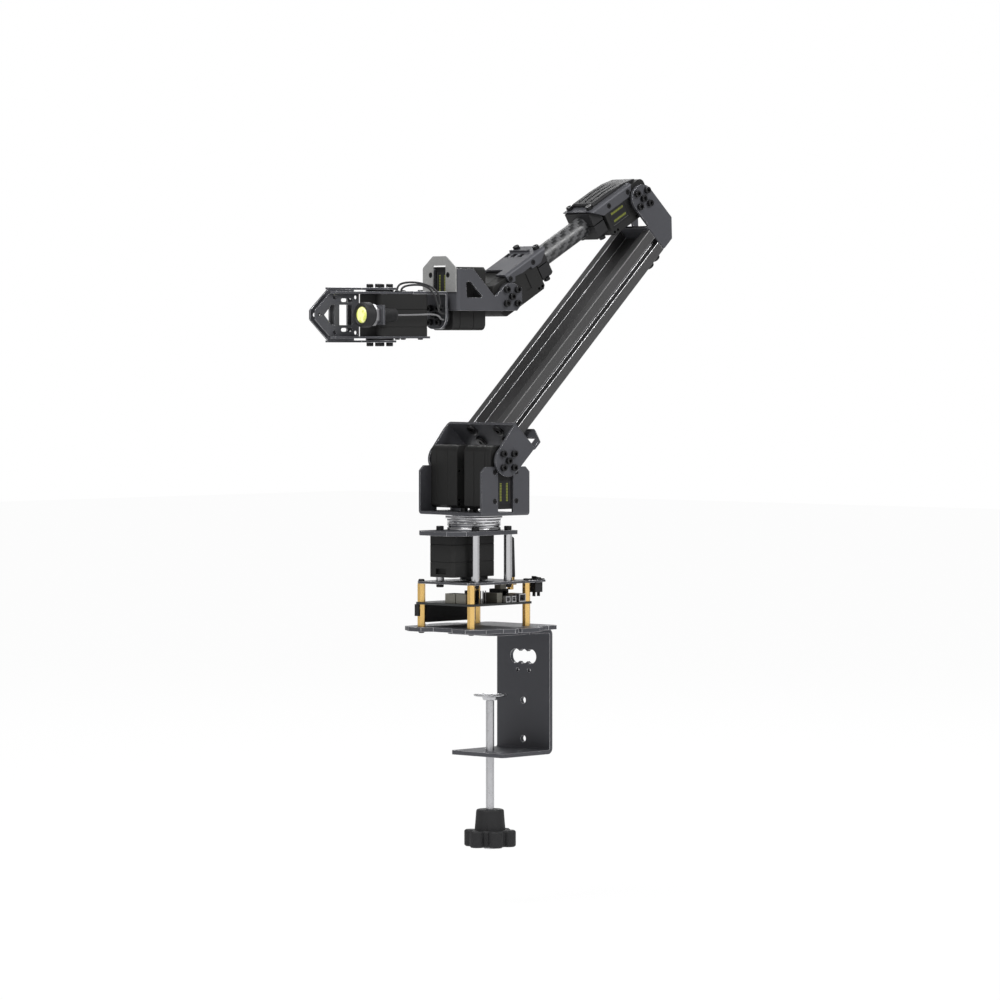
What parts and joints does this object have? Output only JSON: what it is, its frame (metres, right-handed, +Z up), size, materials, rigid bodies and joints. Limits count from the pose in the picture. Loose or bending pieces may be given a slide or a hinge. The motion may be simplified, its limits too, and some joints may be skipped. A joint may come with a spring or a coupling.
{
  "type": "table-clamped robot arm",
  "caption": "Servo-driven desktop robot arm on a table clamp: turning base, long upper arm, tube forearm, wrist and two-jaw gripper with a lamp.",
  "frame": {"origin": "on the base's yaw axis, in the plane of the table top, which is the underside of the clamp's upper jaw", "axes": "+X forward over the table, +Y left, +Z up; the arm is stored turned 8 degrees to the right in the pictured pose"},
  "size_m": [0.3169, 0.092, 0.4857],
  "materials": {
    "dark_metal": "satin dark grey anodised or powder coated sheet",
    "case_black": "fine matt moulded servo case",
    "soft_black": "matt moulding",
    "screw_black": "black oxide steel",
    "horn_metal": "black anodised",
    "polished": "polished steel",
    "zinc": "bright zinc plated thread",
    "brass": "plain brass",
    "board": "black solder mask",
    "can_grey": "warm grey connector moulding",
    "port_metal": "tinned shell",
    "carbon": "carbon fibre twill under clear coat",
    "light_plate": "fine blasted natural",
    "lens": "yellow-green phosphor under a clear dome",
    "extrusion": "dark anodised extrusion"
  },
  "bodies": {
    "base": {"clamp_bracket": "dark_metal", "base_plate": "dark_metal", "standoffs": "brass", "driver_board": "board", "board_black_parts": "soft_black", "board_modules": "can_grey", "board_ports": "port_metal", "deck_plate": "dark_metal", "switch_body": "soft_black", "antenna_socket": "brass", "antenna": "soft_black", "posts": "polished", "top_plate": "dark_metal", "base_servo": "case_black", "lower_race": "polished", "race_balls": "polished", "base_screws": "screw_black"},
    "pad": {"clamp_pad": "zinc"},
    "screw": {"clamp_screw": "zinc", "clamp_knob": "soft_black"},
    "rocker": {"switch_rocker": "soft_black"},
    "turret": {"upper_race": "polished", "base_horns": "horn_metal", "shoulder_bracket": "dark_metal", "bracket_screws": "screw_black", "shoulder_servos": "case_black"},
    "upper_arm": {"shoulder_fork": "dark_metal", "arm_extrusion": "extrusion", "elbow_fork": "dark_metal", "shoulder_horns": "horn_metal", "shoulder_screws": "screw_black", "elbow_horns": "horn_metal", "elbow_screws": "screw_black"},
    "forearm": {"elbow_servo": "case_black", "wrist_servo": "case_black", "elbow_cover": "dark_metal", "elbow_fairing": "soft_black", "tube_clamps": "soft_black", "wrist_cover": "dark_metal", "forearm_tube": "carbon", "forearm_screws": "screw_black"},
    "wrist": {"wrist_bracket": "dark_metal", "roll_plate": "light_plate", "wrist_horns": "horn_metal", "wrist_screws": "screw_black", "roll_servo": "case_black"},
    "hand": {"roll_horn": "horn_metal", "hand_bracket": "dark_metal", "gripper_servo": "case_black", "fixed_jaw": "dark_metal", "lamp_head": "soft_black", "lamp_lens": "lens", "lamp_nut": "zinc", "servo_cables": "soft_black", "lamp_wire": "zinc", "hand_screws": "screw_black"},
    "jaw": {"moving_jaw": "dark_metal", "gripper_horns": "horn_metal", "jaw_screws": "screw_black"}
  },
  "joints": [
    {"name": "pad_travel", "type": "slide", "parent": "base", "child": "pad", "axis": [0, 0, 1], "range_m": [-0.034, 0.035]},
    {"name": "screw_turn", "type": "hinge", "parent": "pad", "child": "screw", "pos_m": [-0.017, 0, -0.127], "axis": [0, 0, 1], "range_deg": [-12700, 12700]},
    {"name": "power_switch", "type": "hinge", "parent": "base", "child": "rocker", "pos_m": [-0.043, 0.0214, 0.0388], "axis": [0, 1, 0], "range_deg": [0, 22]},
    {"name": "base_yaw", "type": "hinge", "parent": "base", "child": "turret", "pos_m": [0, 0, 0.0753], "axis": [0, 0, 1], "range_deg": [-180, 180]},
    {"name": "shoulder_pitch", "type": "hinge", "parent": "turret", "child": "upper_arm", "pos_m": [0, 0, 0.1258], "axis": [0.1392, 0.9903, 0], "range_deg": [-45, 110]},
    {"name": "elbow_pitch", "type": "hinge", "parent": "upper_arm", "child": "forearm", "pos_m": [-0.14198, 0.01995, 0.31559], "axis": [-0.1392, -0.9903, 0], "range_deg": [-15, 165]},
    {"name": "wrist_pitch", "type": "hinge", "parent": "forearm", "child": "wrist", "pos_m": [-0.01865, 0.00262, 0.24311], "axis": [0.1392, 0.9903, 0], "range_deg": [-60, 50]},
    {"name": "wrist_roll", "type": "hinge", "parent": "wrist", "child": "hand", "pos_m": [0.03076, -0.00432, 0.22941], "axis": [0.9903, -0.1392, 0], "range_deg": [-180, 180]},
    {"name": "gripper", "type": "hinge", "parent": "hand", "child": "jaw", "pos_m": [0.08473, -0.01191, 0.22941], "axis": [0, 0, -1], "range_deg": [-3, 90]}
  ],
  "couplings": [
    {"joint": "screw_turn", "follows": "pad_travel", "rad_per_m": 6283.2}
  ]
}
